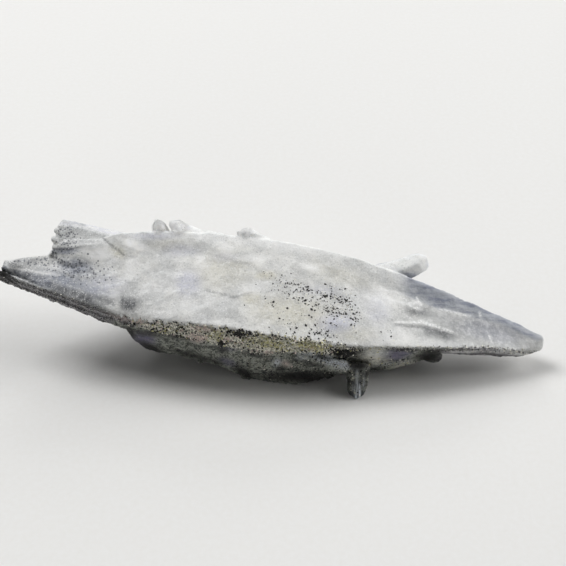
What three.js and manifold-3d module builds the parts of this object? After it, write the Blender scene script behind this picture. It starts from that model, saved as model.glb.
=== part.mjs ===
// A quartz cluster: one long flattened crystal, tapered to both ends, with a second crystal grown
// along its underside, stepped crystals at its left end, and small ones on its back and foot.
// Millimetres, +Z up. It lies as it rests, with its long axis near X and its origin under the
// centre of its bounding box.

import * as THREE from "three";
import { ConvexGeometry } from "three/addons/geometries/ConvexGeometry.js";
import { mergeVertices } from "three/addons/utils/BufferGeometryUtils.js";
import Module from "manifold-3d";

const wasm = await Module();
wasm.setup();

// ---- driving dimensions ----------------------------------------------------------------------

// The main crystal's long edges. Each is a smooth line through [y, z] at these x stations, from the
// left tip to the right tip.
const STATIONS = [-54.3, -48, -40, -30, -8, 12, 34, 52, 56.5];
const MAIN_EDGES = {
  topRidge: [
    [15.2, 19.8], [16, 20.6], [17.4, 21.6], [18, 25.1], [18.5, 24], [17.3, 21.1], [13, 14.8],
    [8.6, 7.9], [7.2, 6.4],
  ],
  bevel: [
    [14.8, 19.8], [14.2, 20], [14, 20.8], [14.4, 22.2], [14.2, 22.3], [13, 18.9], [9.8, 12.6],
    [7, 7.5], [6.5, 6.7],
  ],
  ledge: [
    [14.2, 19.3], [10.4, 18.5], [7, 17.4], [3.7, 16], [-1, 16.2], [-1.5, 12.1], [0.2, 9.7],
    [3.7, 5.5], [5, 5],
  ],
  ledgeFoot: [
    [14.4, 18.7], [11.2, 14.4], [8, 13.1], [4.3, 11.3], [-0.6, 11.5], [-1, 8.9], [0.8, 7.4],
    [4.2, 3.6], [5.6, 3.9],
  ],
  keel: [
    [14.8, 18.4], [13.4, 13.4], [12, 10.5], [10, 8], [9, 5], [8, 4.5], [7.5, 4.4], [6.5, 3],
    [6.8, 3.6],
  ],
  backFoot: [
    [15.6, 18.6], [17.4, 14.2], [19.5, 12], [21, 10], [24, 9], [21, 8], [14, 6], [9.2, 4], [8, 4.5],
  ],
  backEdge: [
    [15.8, 19.3], [18.2, 18.2], [21, 18], [24, 17.5], [27.5, 15.6], [24.5, 13.5], [16.5, 9.8],
    [10.4, 6], [8, 5.6],
  ],
};
const STEPS_PER_STATION = 3;

// The dark blade along the lower left edge, which ends furthest left.
const BLADE_STATIONS = [-56, -52, -46, -38, -30];
const BLADE_EDGES = {
  top: [[12.8, 20], [11.2, 19.2], [8.8, 18.1], [6, 17.2], [4.4, 15.9]],
  foot: [[13.1, 16.6], [11.8, 15.7], [9.6, 14.8], [7, 13.4], [5, 12]],
  back: [[15.4, 17.2], [15, 16], [14, 15], [12, 14], [9, 13]],
};

// Growth lines along the narrow faces: shallow grooves between the two edges of a face.
const GROOVE_DEPTH = 0.35;
const LEDGE_GROOVES = 3;
const BLADE_GROOVES = 3;
const BACK_GROOVES = 2;

// The crystal grown along the underside, in the same way.
const UNDER_STATIONS = [-29.5, -26, -15, -3, 5, 14, 25, 35];
const UNDER_EDGES = {
  frontTop: [
    [4.5, 12.8], [3.4, 12.5], [1, 12.5], [-0.2, 11.5], [-0.2, 10.5], [-0.2, 9.4], [0.8, 8.4],
    [2, 7.4],
  ],
  frontFoot: [
    [5, 11], [5, 5.2], [4, 3], [1, -0.2], [-0.4, -0.2], [1.2, 1.4], [2.8, 1.2], [4.2, 3.6],
  ],
  keel: [[7, 11], [8, 4], [9, 0.6], [8, -1], [8, -0.8], [8, -0.4], [8, 1], [7, 3.4]],
  backFoot: [[12, 11.5], [15, 5], [18, 0.2], [19, -0.6], [18, -0.2], [16, 1], [13, 2.4], [10, 4.4]],
  backTop: [[14, 13], [18, 13], [22, 12], [24, 12], [23, 12], [20, 11], [14, 9], [10, 7.6]],
};

// A quartz point: its prism, and the pyramid whose faces stand at this angle to its axis.
const PYRAMID_FACE_ANGLE = 38.2;
const PRISM_SIDES = 6;

// Each crystal below runs from its base, buried in the body, to its tip. Its flattest face looks
// up, and flat is its thickness as a share of its width. It widens from its width by taper degrees
// a side, and blunt cuts its point off, by that share of its half width.
const USUAL_CRYSTAL = { up: [0, -0.45, 0.9], flat: 0.88, taper: 2, blunt: 0.3 };

// Steps of the left end, each ending further right than the one below it.
const LEFT_STEPS = [
  { tip: [-44.4, 20.6, 21.2], base: [-24, 18, 17.6], width: 8, flat: 0.6, taper: 0.5, blunt: 1.6 },
  { tip: [-45.2, 16.9, 20.5], base: [-33, 14.8, 18.6], width: 3.8, flat: 0.75, taper: 1, blunt: 1 },
];

// Low steps in the broad face, where the parallel crystals that make it up end. Each lies at
// these [x, share] places, the share counted from the bevel down to the ledge, stands proud at its
// tip, and dips by PLATE_DIP times that towards its base.
const FACE_STEPS = [
  { tip: [-34, 0.16], base: [-15, 0.24], width: 8.4, proud: 0.45 },
  { tip: [-30.5, 0.66], base: [-12, 0.6], width: 7, proud: 0.3 },
  { tip: [-20, 0.1], base: [2, 0.2], width: 5, proud: 0.35 },
  { tip: [19, 0.62], base: [-4, 0.66], width: 5.4, proud: 0.3 },
  { tip: [31.5, 0.1], base: [12, 0.2], width: 3.4, proud: 0.4 },
  { tip: [31.4, 0.52], base: [14, 0.5], width: 3.8, proud: 0.35 },
  { tip: [36.8, 0.44], base: [20, 0.42], width: 2.6, proud: 0.35 },
  { tip: [46, 0.72], base: [27, 0.74], width: 2.8, proud: 0.3 },
];
const PLATE_THICKNESS = 2.4;
const PLATE_DIP = 1.8;

// Small crystals that stand clear of the body: a spur at the back, one at the foot and one lying
// beside it, a block under the right end, and a knob, a slab and two steps on the crest.
const SMALL_CRYSTALS = [
  { tip: [32.7, 18.8, 17.2], base: [21, 16.5, 13.4], up: [0, -0.3, 1], width: 3.6, taper: 5, blunt: 0.9 },
  { tip: [17.5, -4.4, -0.4], base: [17.9, 1.5, 5.4], up: [0, -0.7, 0.7], width: 2.8, taper: 6, blunt: 0.7 },
  { tip: [16.3, -1.2, 5.6], base: [4, 0.6, 8.4], width: 2.8, taper: 1, blunt: 0.5 },
  { tip: [35.4, 4.6, 4.4], base: [22, 6, 4.6], width: 3.6, flat: 0.8, taper: 1.5, blunt: 1 },
  { tip: [-23.4, 20.6, 26.4], base: [-21.4, 18.6, 22.6], up: [0, -1, 1], width: 2.4, taper: 4, blunt: 0.6 },
  { tip: [-20.6, 20.4, 25.9], base: [-12, 18.4, 21.6], up: [0.2, -0.4, 1], width: 3, flat: 0.5, blunt: 0.4 },
  { tip: [-6.2, 19.6, 23.6], base: [1.5, 18.2, 19.3], width: 3.4, flat: 0.6, blunt: 1 },
  { tip: [-14.5, 18.8, 23.6], base: [-3, 17.2, 20.8], width: 3, flat: 0.75, taper: 1, blunt: 0.6 },
];

// The hidden side: crystals roughly along the long axis, fanning a little. The first five point
// left and the next five right, and the last three stand out from the middle.
const BACK_CRYSTALS = [
  { tip: [-42, 21.4, 17], base: [6, 17.4, 14.4], up: [0, 0.5, 0.9], width: 6.4, flat: 0.8 },
  { tip: [-33, 25, 13.6], base: [6, 19, 11.5], up: [0, 0.8, 0.6], width: 5 },
  { tip: [-36, 20.6, 10.8], base: [-2, 15, 9], up: [0, 0.9, 0.1], width: 4.4 },
  { tip: [-23, 26.6, 8.4], base: [6, 17, 9.5], up: [0, 0.8, 0.5], width: 5.4 },
  { tip: [-19, 22.5, 2.4], base: [4, 14, 6.5], up: [0, 0.7, 0.4], width: 5, blunt: 0.4 },
  { tip: [44, 11.6, 7], base: [4, 17, 12.5], up: [0.2, 0.4, 0.9], width: 5, blunt: 0.15 },
  { tip: [33, 18.6, 8.4], base: [-6, 19.4, 11.5], up: [0.2, 0.8, 0.7], width: 5 },
  { tip: [21, 25, 10.2], base: [-10, 20, 12], up: [0, 0.7, 0.8], width: 4.6 },
  { tip: [27, 18.4, 3.4], base: [-4, 14, 8], up: [0, 0.9, 0.2], width: 5, blunt: 0.4 },
  { tip: [14, 25.6, 3.4], base: [-10, 16, 8], up: [0.1, 0.8, 0.5], width: 5, blunt: 0.4 },
  { tip: [-10.5, 30, 12.4], base: [2, 19, 11], up: [0, 0.4, 0.9], width: 4 },
  { tip: [7.5, 29.8, 8.2], base: [-5, 19, 10], up: [0, 0.4, 0.9], width: 3.8 },
  { tip: [-1, 28.8, 5.6], base: [-4, 18, 8], up: [0.2, 0.4, 0.9], width: 3.4 },
];

// Rough crust along the ledge, and lumps on the underside's front. Each is a share of the way down
// the narrow face it grows on, and sunk into it by a share of its size.
const BLOCK = new THREE.BoxGeometry(1, 1, 1);
const KNOB = new THREE.IcosahedronGeometry(1, 0);
const CRUST = { form: BLOCK, x: [-30, 23], count: 120, size: [0.9, 2], share: [0.05, 1.1], sunk: 0.2 };
const UNDER_LUMPS = { form: KNOB, x: [-21, 15], count: 44, size: [1.6, 3.4], share: [0.4, 1.05], sunk: 0.28 };

// The cluster is level where it rests, and this box above that holds all of it.
const REST_HEIGHT = 0;
const REACH = 200;

// ---- geometry helpers ------------------------------------------------------------------------

const degrees = THREE.MathUtils.degToRad;

// The same run of numbers between 0 and 1 each time.
function numbers(seed) {
  let state = seed;
  return () => {
    state = (state * 1664525 + 1013904223) % 4294967296;
    return state / 4294967296;
  };
}

// The same geometry with each corner kept once.
function merged(geometry) {
  const bare = geometry.clone();
  bare.deleteAttribute("normal");
  bare.deleteAttribute("uv");
  return mergeVertices(bare, 1e-4);
}

function solid(geometry) {
  const closed = merged(geometry);
  return new wasm.Manifold(
    new wasm.Mesh({
      numProp: 3,
      vertProperties: new Float32Array(closed.attributes.position.array),
      triVerts: new Uint32Array(closed.index.array),
    }),
  );
}

// A closed skin over rings of points, each ring in the same order, with flat ends.
function loft(rings) {
  const sides = rings[0].length;
  const positions = rings.flat().flatMap((p) => [p.x, p.y, p.z]);
  const faces = [];
  for (let r = 0; r + 1 < rings.length; r += 1) {
    for (let s = 0; s < sides; s += 1) {
      const a = r * sides + s;
      const b = r * sides + ((s + 1) % sides);
      faces.push(a, b, b + sides, a, b + sides, a + sides);
    }
  }
  for (const [ring, first] of [[rings[0], 0], [rings.at(-1), (rings.length - 1) * sides]]) {
    const middle = positions.length / 3;
    const centre = ring.reduce((sum, p) => sum.add(p), new THREE.Vector3()).divideScalar(sides);
    positions.push(centre.x, centre.y, centre.z);
    for (let s = 0; s < sides; s += 1) {
      const next = first + ((s + 1) % sides);
      faces.push(...(first === 0 ? [middle, next, first + s] : [middle, first + s, next]));
    }
  }
  const geometry = new THREE.BufferGeometry();
  geometry.setAttribute("position", new THREE.Float32BufferAttribute(positions, 3));
  geometry.setIndex(faces);
  return geometry;
}

// Rings along a crystal from its long edges, with grooves cut between the edges named in grooved.
function ringsAlong(stations, edges, grooved) {
  const names = Object.keys(edges);
  const curves = names.map((name) => {
    const points = edges[name].map(([y, z], i) => new THREE.Vector3(stations[i], y, z));
    return new THREE.CatmullRomCurve3(points);
  });
  const count = (stations.length - 1) * STEPS_PER_STATION;
  const rings = [];
  for (let i = 0; i <= count; i += 1) {
    const corners = curves.map((curve) => curve.getPoint(i / count));
    const centre = corners.reduce((sum, p) => sum.add(p), new THREE.Vector3()).divideScalar(corners.length);
    const ring = [];
    corners.forEach((corner, k) => {
      ring.push(corner);
      const next = corners[(k + 1) % corners.length];
      const grooves = grooved[names[k]] || 0;
      const inward = centre.clone().sub(corner.clone().lerp(next, 0.5)).normalize();
      const depth = Math.min(GROOVE_DEPTH, corner.distanceTo(next) / 8);
      for (let g = 1; g < 2 * grooves; g += 1) {
        const point = corner.clone().lerp(next, g / (2 * grooves));
        ring.push(point.addScaledVector(inward, g % 2 ? depth : 0));
      }
    });
    rings.push(ring);
  }
  return rings;
}

// The corners of the convex solid inside all these planes, each { normal, distance }.
function cornersInside(planes) {
  const corners = [];
  const across = new THREE.Vector3();
  for (let i = 0; i < planes.length; i += 1) {
    for (let j = i + 1; j < planes.length; j += 1) {
      for (let k = j + 1; k < planes.length; k += 1) {
        const [a, b, c] = [planes[i], planes[j], planes[k]];
        const scale = a.normal.dot(across.crossVectors(b.normal, c.normal));
        if (Math.abs(scale) < 1e-6) continue;
        const point = new THREE.Vector3()
          .addScaledVector(across, a.distance)
          .addScaledVector(new THREE.Vector3().crossVectors(c.normal, a.normal), b.distance)
          .addScaledVector(new THREE.Vector3().crossVectors(a.normal, b.normal), c.distance)
          .divideScalar(scale);
        if (planes.every((p) => p.normal.dot(point) < p.distance + 1e-6)) corners.push(point);
      }
    }
  }
  return corners;
}

// A six-sided crystal along local +X, with an uneven pyramid on its end, which lies at x = 0.
function crystalPoint({ length, width, flat, taper, blunt }, random) {
  const half = width / 2;
  const lean = Math.sin(degrees(taper));
  const along = Math.sin(degrees(PYRAMID_FACE_ANGLE));
  const outward = Math.cos(degrees(PYRAMID_FACE_ANGLE));
  const planes = [{ normal: new THREE.Vector3(-1, 0, 0), distance: length }];
  for (let side = 0; side < PRISM_SIDES; side += 1) {
    const angle = ((side + 0.5) / PRISM_SIDES) * 2 * Math.PI;
    const out = new THREE.Vector3(0, Math.cos(angle), Math.sin(angle));
    const reach = half * (0.92 + 0.16 * random());
    planes.push({ normal: out.clone().setX(lean).normalize(), distance: reach });
    const drop = half * (side % 2 ? 0 : 0.35) * (0.6 + random());
    planes.push({ normal: out.clone().multiplyScalar(outward).setX(along), distance: -drop * along });
  }
  planes.push({ normal: new THREE.Vector3(1, 0, 0), distance: -half * blunt });
  const point = new ConvexGeometry(cornersInside(planes)).scale(1, 1, flat);
  point.computeBoundingBox();
  return point.translate(-point.boundingBox.max.x, 0, 0);
}

// The same crystal, laid from its base to its tip with its flattest face up.
function crystal(given, random) {
  const spec = { ...USUAL_CRYSTAL, ...given };
  const tip = new THREE.Vector3(...spec.tip);
  const axis = tip.clone().sub(new THREE.Vector3(...spec.base));
  const length = axis.length();
  axis.normalize();
  const across = new THREE.Vector3(...spec.up).cross(axis).normalize();
  const up = axis.clone().cross(across);
  const place = new THREE.Matrix4().makeBasis(axis, across, up).setPosition(tip);
  return solid(crystalPoint({ ...spec, length }, random).applyMatrix4(place));
}

// A small uneven copy of a form, with flat faces, as crust and sugary quartz grow.
function lump(form, centre, size, random) {
  const turn = new THREE.Euler(3 * random(), 3 * random(), 3 * random());
  const places = Array.from(merged(form).attributes.position.array);
  const corners = [];
  for (let i = 0; i < places.length; i += 3) {
    const reach = (size / 2) * (0.8 + 0.4 * random());
    corners.push(new THREE.Vector3(...places.slice(i, i + 3)).setLength(reach).applyEuler(turn));
  }
  return solid(new ConvexGeometry(corners).translate(...centre));
}

// ---- the crystals of the cluster ---------------------------------------------------------------

function mainCrystal() {
  return solid(loft(ringsAlong(STATIONS, MAIN_EDGES, { ledge: LEDGE_GROOVES, backFoot: BACK_GROOVES })));
}

function edgeBlade() {
  return solid(loft(ringsAlong(BLADE_STATIONS, BLADE_EDGES, { top: BLADE_GROOVES })));
}

function underCrystal() {
  return solid(loft(ringsAlong(UNDER_STATIONS, UNDER_EDGES, {})));
}

// The [y, z] of a long edge at x, straight between its stations.
function edgeAt(stations, edge, x) {
  const i = Math.min(stations.length - 2, Math.max(0, stations.findIndex((s) => s > x) - 1));
  const share = (x - stations[i]) / (stations[i + 1] - stations[i]);
  return edge[i].map((value, k) => value + (edge[i + 1][k] - value) * share);
}

// A place on the broad face.
function onFace([x, share]) {
  const bevel = new THREE.Vector3(x, ...edgeAt(STATIONS, MAIN_EDGES.bevel, x));
  const ledge = new THREE.Vector3(x, ...edgeAt(STATIONS, MAIN_EDGES.ledge, x));
  return bevel.lerp(ledge, share);
}

// A long flat crystal in the broad face, proud of it at its tip and under it at its base.
function faceStep({ tip, base, width, proud }, random) {
  const seat = onFace(tip);
  const down = onFace([tip[0], 1]).sub(onFace([tip[0], 0]));
  const right = onFace([tip[0] + 1, tip[1]]).sub(seat);
  const up = down.cross(right).normalize();
  const rise = proud - PLATE_THICKNESS / 2;
  const tipAxis = seat.clone().addScaledVector(up, rise);
  const baseAxis = onFace(base).addScaledVector(up, rise - PLATE_DIP * proud);
  return crystal(
    { tip: tipAxis, base: baseAxis, up, width, flat: PLATE_THICKNESS / width, taper: 0.6, blunt: 0.2 },
    random,
  );
}

// Lumps over the narrow face between two long edges.
function lumpsBetween(stations, upper, lower, { form, x: [from, to], count, size, share, sunk }, random) {
  const between = ([low, high]) => low + (high - low) * random();
  return Array.from({ length: count }, (_, i) => {
    const x = from + (to - from) * ((i + random()) / count);
    const top = edgeAt(stations, upper, x);
    const foot = edgeAt(stations, lower, x);
    const down = between(share);
    const across = between(size);
    const y = top[0] + (foot[0] - top[0]) * down + sunk * across;
    const z = top[1] + (foot[1] - top[1]) * down;
    return lump(form, [x, y, z], across, random);
  });
}

function clusterSolid() {
  const random = numbers(20);
  const specs = [...LEFT_STEPS, ...SMALL_CRYSTALS, ...BACK_CRYSTALS];
  const grown = [
    mainCrystal(),
    edgeBlade(),
    underCrystal(),
    ...specs.map((spec) => crystal(spec, random)),
    ...FACE_STEPS.map((spec) => faceStep(spec, random)),
    ...lumpsBetween(STATIONS, MAIN_EDGES.ledge, MAIN_EDGES.ledgeFoot, CRUST, random),
    ...lumpsBetween(UNDER_STATIONS, UNDER_EDGES.frontTop, UNDER_EDGES.frontFoot, UNDER_LUMPS, random),
  ];
  const whole = grown.reduce((sum, piece) => sum.add(piece));
  const above = new THREE.BoxGeometry(REACH, REACH, REACH).translate(0, 0, REACH / 2 + REST_HEIGHT);
  return whole.intersect(solid(above));
}

function meshGeometry(manifold) {
  const mesh = manifold.getMesh();
  const geometry = new THREE.BufferGeometry();
  const positions = new Float32Array(mesh.numVert * 3);
  for (let i = 0; i < mesh.numVert; i += 1) {
    positions.set(mesh.vertProperties.subarray(i * mesh.numProp, i * mesh.numProp + 3), i * 3);
  }
  geometry.setAttribute("position", new THREE.BufferAttribute(positions, 3));
  geometry.setIndex(new THREE.BufferAttribute(new Uint32Array(mesh.triVerts), 1));
  return geometry;
}

const quartz = new THREE.MeshStandardMaterial({ color: 0xd4d6d6, roughness: 0.35, metalness: 0 });

const cluster = new THREE.Mesh(meshGeometry(clusterSolid()), quartz);
cluster.name = "quartz_cluster";
cluster.geometry.computeBoundingBox();
const middle = cluster.geometry.boundingBox.getCenter(new THREE.Vector3());
cluster.position.set(-middle.x, -middle.y, -REST_HEIGHT);

const group = new THREE.Group();
group.add(cluster);

export default group;
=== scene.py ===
import math
import random

import bpy
import numpy as np
from mathutils import Euler, Matrix, Vector


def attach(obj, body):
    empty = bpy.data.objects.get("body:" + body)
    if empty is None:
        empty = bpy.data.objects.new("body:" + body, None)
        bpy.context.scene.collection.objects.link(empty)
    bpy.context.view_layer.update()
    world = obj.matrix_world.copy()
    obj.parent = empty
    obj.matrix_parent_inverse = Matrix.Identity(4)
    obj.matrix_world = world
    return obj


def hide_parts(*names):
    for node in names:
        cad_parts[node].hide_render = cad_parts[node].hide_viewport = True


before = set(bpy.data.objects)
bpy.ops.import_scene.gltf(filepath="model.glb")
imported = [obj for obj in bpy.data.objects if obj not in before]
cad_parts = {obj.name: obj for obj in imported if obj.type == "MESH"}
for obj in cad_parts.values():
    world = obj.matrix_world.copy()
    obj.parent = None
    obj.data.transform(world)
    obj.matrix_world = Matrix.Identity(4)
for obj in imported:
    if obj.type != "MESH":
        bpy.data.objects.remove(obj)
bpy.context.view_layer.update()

mm = 0.001


# selecting and modelling

def selectOnly(piece):
    bpy.ops.object.select_all(action="DESELECT")
    piece.select_set(True)
    bpy.context.view_layer.objects.active = piece


def joined(pieces, name):
    bpy.ops.object.select_all(action="DESELECT")
    for piece in pieces:
        piece.select_set(True)
    bpy.context.view_layer.objects.active = pieces[0]
    bpy.ops.object.join()
    whole = bpy.context.active_object
    whole.name = name
    whole.data.name = name
    return whole


def applyModifier(piece, kind, **settings):
    selectOnly(piece)
    modifier = piece.modifiers.new(kind.lower(), kind)
    for name, value in settings.items():
        setattr(modifier, name, value)
    bpy.ops.object.modifier_apply(modifier=modifier.name)


def applyPlace(piece, matrix):
    piece.matrix_world = matrix
    selectOnly(piece)
    bpy.ops.object.transform_apply(location=True, rotation=True, scale=True)


def triangles(piece):
    return sum(len(face.vertices) - 2 for face in piece.data.polygons)


def pointsOf(piece):  # in millimetres
    places = np.zeros(len(piece.data.vertices) * 3)
    piece.data.vertices.foreach_get("co", places)
    return places.reshape(-1, 3) / mm


def normalsOf(piece):
    normals = np.zeros(len(piece.data.vertices) * 3)
    piece.data.vertices.foreach_get("normal", normals)
    return normals.reshape(-1, 3)


# values on a piece's points: shares from 0 to 1, and what is painted there for the materials

def rise(value, low, high):  # 0 up to low, 1 from high on
    share = np.clip((value - low) / (high - low), 0, 1)
    return share * share * (3 - 2 * share)


def fall(value, low, high):  # 1 up to low, 0 from high on
    return rise(-value, -high, -low)


def weightGroup(piece, name, shares, steps=24):
    group = piece.vertex_groups.new(name=name)
    levels = np.round(np.clip(shares, 0, 1) * steps).astype(int)
    for level in range(1, steps + 1):
        members = np.flatnonzero(levels == level)
        if len(members):
            group.add(members.tolist(), level / steps, "REPLACE")


def paint(piece, name, shares):
    layer = piece.data.attributes.new(name, "FLOAT", "POINT")
    layer.data.foreach_set("value", np.asarray(shares, dtype=np.float32))


# wiring materials

def tone(red, green, blue):  # a colour as the eye sees it, 0 to 255
    return tuple(((c / 255 + 0.055) / 1.055) ** 2.4 for c in (red, green, blue)) + (1,)


def wire(tree, kind, inputs=None, **options):
    made = tree.nodes.new(kind)
    for name, value in options.items():
        setattr(made, name, value)
    for name, value in (inputs or {}).items():
        if isinstance(value, bpy.types.NodeSocket):
            tree.links.new(value, made.inputs[name])
        else:
            made.inputs[name].default_value = value
    return made


def blend(tree, share, first, second):
    return wire(tree, "ShaderNodeMix", {0: share, 6: first, 7: second}, data_type="RGBA").outputs[2]


def ramp(tree, value, low, high, start=0.0, end=1.0):
    inputs = {"Value": value, "From Min": low, "From Max": high, "To Min": start, "To Max": end}
    return wire(tree, "ShaderNodeMapRange", inputs, interpolation_type="SMOOTHSTEP").outputs[0]


def maths(tree, operation, first, second=0.0):
    return wire(tree, "ShaderNodeMath", {0: first, 1: second}, operation=operation).outputs[0]


def times(tree, first, second):
    return maths(tree, "MULTIPLY", first, second)


def plus(tree, first, second):
    return maths(tree, "ADD", first, second)


def greater(tree, first, second):
    return maths(tree, "MAXIMUM", first, second)


def rest(tree, share):  # what a share leaves of 1
    return maths(tree, "SUBTRACT", 1.0, share)


def painted(tree, name):
    return wire(tree, "ShaderNodeAttribute", attribute_name=name).outputs["Fac"]


def stretched(tree, coords, x, y, z, turn=0.0):
    inputs = {"Vector": coords, "Scale": (x, y, z), "Rotation": (0, 0, math.radians(turn))}
    return wire(tree, "ShaderNodeMapping", inputs).outputs[0]


def inMillimetres(tree):
    return stretched(tree, wire(tree, "ShaderNodeTexCoord").outputs["Object"], 1 / mm, 1 / mm, 1 / mm)


def cloud(tree, coords, scale, detail=3.0, roughness=0.55):
    inputs = {"Vector": coords, "Scale": scale, "Detail": detail, "Roughness": roughness}
    return wire(tree, "ShaderNodeTexNoise", inputs).outputs[0]


def cells(tree, coords, scale):
    return wire(tree, "ShaderNodeTexVoronoi", {"Vector": coords, "Scale": scale})


def channel(tree, colour, number):
    return wire(tree, "ShaderNodeSeparateColor", {"Color": colour}).outputs[number]


def newMaterial(name):
    material = bpy.data.materials.new(name)
    material.use_nodes = True
    material.node_tree.nodes.clear()
    return material, material.node_tree


def finishMaterial(tree, surface, inside=None):
    output = wire(tree, "ShaderNodeOutputMaterial")
    tree.links.new(surface.outputs[0], output.inputs["Surface"])
    if inside:
        tree.links.new(inside.outputs[0], output.inputs["Volume"])


# the camera, the lamps and the floor

viewSetup = {
    "camera": (2.42, -183.655, 170.323),  # mm, in the cluster's frame
    "lookDown": 40.0,  # degrees
    "lens": 74.48,
    "sensor": 36.0,
}

# each lamp's place is its direction seen from the cluster: degrees round from +X, and degrees up;
# its power is in watts and its size in mm
lampSetup = {
    "backLeft": {"across": 148, "up": 51, "power": 15.2, "size": 660},
    "lowRight": {"across": 15, "up": 30, "power": 12.6, "size": 900},
    "back": {"across": 90, "up": 30, "power": 4.4, "size": 480},
    "right": {"across": 0, "up": 30, "power": 5.0, "size": 900},
    "left": {"across": 180, "up": 30, "power": 1.6, "size": 660},
    "overhead": {"across": 120, "up": 70, "power": 2.4, "size": 480},
    "lowFront": {"across": 265, "up": 12, "power": 2.4, "size": 480},
}
lampDistance = 1500  # mm
worldTint = (0.97, 0.98, 1.0, 1)
worldStrength = 0.01

floorSetup = {
    "size": 12,  # m
    "mottle": 900,  # patches to a metre
    "shade": tone(219, 218, 215),
    "pale": tone(224, 224, 223),
    "roughness": 0.9,
}


def makeCamera():
    data = bpy.data.cameras.new("camera")
    data.lens = viewSetup["lens"]
    data.sensor_width = viewSetup["sensor"]
    data.clip_start = 0.01
    camera = bpy.data.objects.new("camera", data)
    bpy.context.scene.collection.objects.link(camera)
    camera.location = Vector(viewSetup["camera"]) * mm
    camera.rotation_euler = (math.radians(90 - viewSetup["lookDown"]), 0, 0)
    bpy.context.scene.camera = camera


def makeLamp(name, across, up, power, size):
    across, up = math.radians(across), math.radians(up)
    direction = Vector((math.cos(across) * math.cos(up), math.sin(across) * math.cos(up), math.sin(up)))
    data = bpy.data.lights.new(name, "AREA")
    data.size = size * mm
    data.energy = power
    lamp = bpy.data.objects.new(name, data)
    bpy.context.scene.collection.objects.link(lamp)
    lamp.location = direction * lampDistance * mm
    lamp.rotation_euler = (-direction).to_track_quat("-Z", "Y").to_euler()


def makeFloor():
    look = floorSetup
    bpy.ops.object.select_all(action="DESELECT")
    bpy.ops.mesh.primitive_plane_add(size=look["size"], location=(0, 0, 0))
    floor = bpy.context.active_object
    floor.name = "floor"
    material, tree = newMaterial("paleCloth")
    coords = wire(tree, "ShaderNodeTexCoord").outputs["Object"]
    colour = blend(tree, cloud(tree, coords, look["mottle"], 2), look["shade"], look["pale"])
    inputs = {"Base Color": colour, "Roughness": look["roughness"]}
    finishMaterial(tree, wire(tree, "ShaderNodeBsdfPrincipled", inputs))
    floor.data.materials.append(material)


def makeWorld():
    world = bpy.data.worlds.new("studio")
    world.use_nodes = True
    background = world.node_tree.nodes["Background"]
    background.inputs["Color"].default_value = worldTint
    background.inputs["Strength"].default_value = worldStrength
    bpy.context.scene.world = world
    bpy.context.scene.view_settings.view_transform = "Standard"


makeCamera()
makeFloor()
makeWorld()
for lampName, lampPlace in lampSetup.items():
    makeLamp(lampName, **lampPlace)
print("camera, lamps and floor are ready")


# The front is laid out flat, square to the camera: x runs along the cluster and height runs up its
# front, both in mm. Lines are (x, height) from left to right.
frontLayout = {
    "heightFromY": 0.643,  # sine of the camera's tilt
    "heightFromZ": 0.766,  # and its cosine
    "crustTop": [
        (-57, 16.5), (-54.7, 15.6), (-50.9, 12.8), (-42.4, 10.2), (-34.1, 7.1), (-30, 5.8), (-26, 4.8),
        (-21.9, 4.5), (-13.9, 4), (-6, 3.1), (1.8, 2), (9.7, 0.9), (13.7, 0), (17.7, -0.4), (34, -0.7),
        (44, -0.6), (50.9, -1.4), (57, -2.2),
    ],
    "crustFoot": [
        (-57, 13), (-42, 8.2), (-34, 5.6), (-28.4, 3.7), (-22.2, 2.6), (-14.1, 1), (-10.2, 0),
        (-2.2, -1.7), (5.8, -1.3), (14, -2.3), (20, -2.4), (57, -4),
    ],
    # the lower edge of the right end's steep bevel facet, whose colour carries painted shade
    "bevel": [
        (24, 12), (26.3, 10.2), (30.4, 8.7), (34.5, 6.9), (38.7, 6.3), (42.9, 5), (47.1, 4), (51.2, 2.1),
        (54.3, 0.7),
    ],
    "crest": [
        (-44, 19.4), (-40, 19.6), (-30, 22.7), (-20, 22.4), (-8, 22.2), (12, 19.2), (24, 15.4),
        (34, 11.6), (52, 4), (57, 1),
    ],
    "free": (0.3, 1.1),  # relief fades in between these heights over the floor
}


def along(line, x):
    return np.interp(x, [p[0] for p in line], [p[1] for p in line])


def layOut(points):  # the places and shares that relief, paint and grains follow
    x, y, z = points.T
    height = frontLayout["heightFromY"] * y + frontLayout["heightFromZ"] * z
    front = rise((z - 10) * 0.6 + 2 - y, 0, 2)  # 0 on the crystals of the back
    ragged = 0.28 * np.sin(1.9 * x) + 0.2 * np.sin(4.3 * x + 1) + 0.14 * np.sin(9.1 * x)
    top = along(frontLayout["crustTop"], x) + ragged * rise(x, -34, -28) * fall(x, 16, 22)
    foot = along(frontLayout["crustFoot"], x)
    crest = height - along(frontLayout["crest"], x)
    bevel = front * rise(x, 24, 29) * rise(height - along(frontLayout["bevel"], x), -0.15, 0.15)
    below = front * (top - height) + (1 - front) * (6 - z) * 0.6
    return {
        "x": x,
        "height": height,
        "front": front,
        "back": 1 - front,
        "below": below,  # mm under the crust's top line
        "depth": below / np.maximum(top - foot, 1.2),  # 0 at the crust's top, 1 at its foot
        "bevel": bevel * fall(crest, 0.6, 1),
        "crest": front * crest - 3 * (1 - front),  # mm over the crest line
        "free": rise(z, *frontLayout["free"]),
    }


def spots(layout, places):  # soft ovals, each (x, height, half length, half height, turn, share)
    total = np.zeros(len(layout["x"]))
    for x, height, halfLength, halfHeight, turn, share in places:
        right, up = layout["x"] - x, layout["height"] - height
        cosine, sine = math.cos(math.radians(turn)), math.sin(math.radians(turn))
        lengthwise = (right * cosine + up * sine) / halfLength
        across = (up * cosine - right * sine) / halfHeight
        far = lengthwise ** 2 + across ** 2
        total = np.maximum(total, share * np.exp(-far ** 1.5))
    return total * layout["front"]


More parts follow.
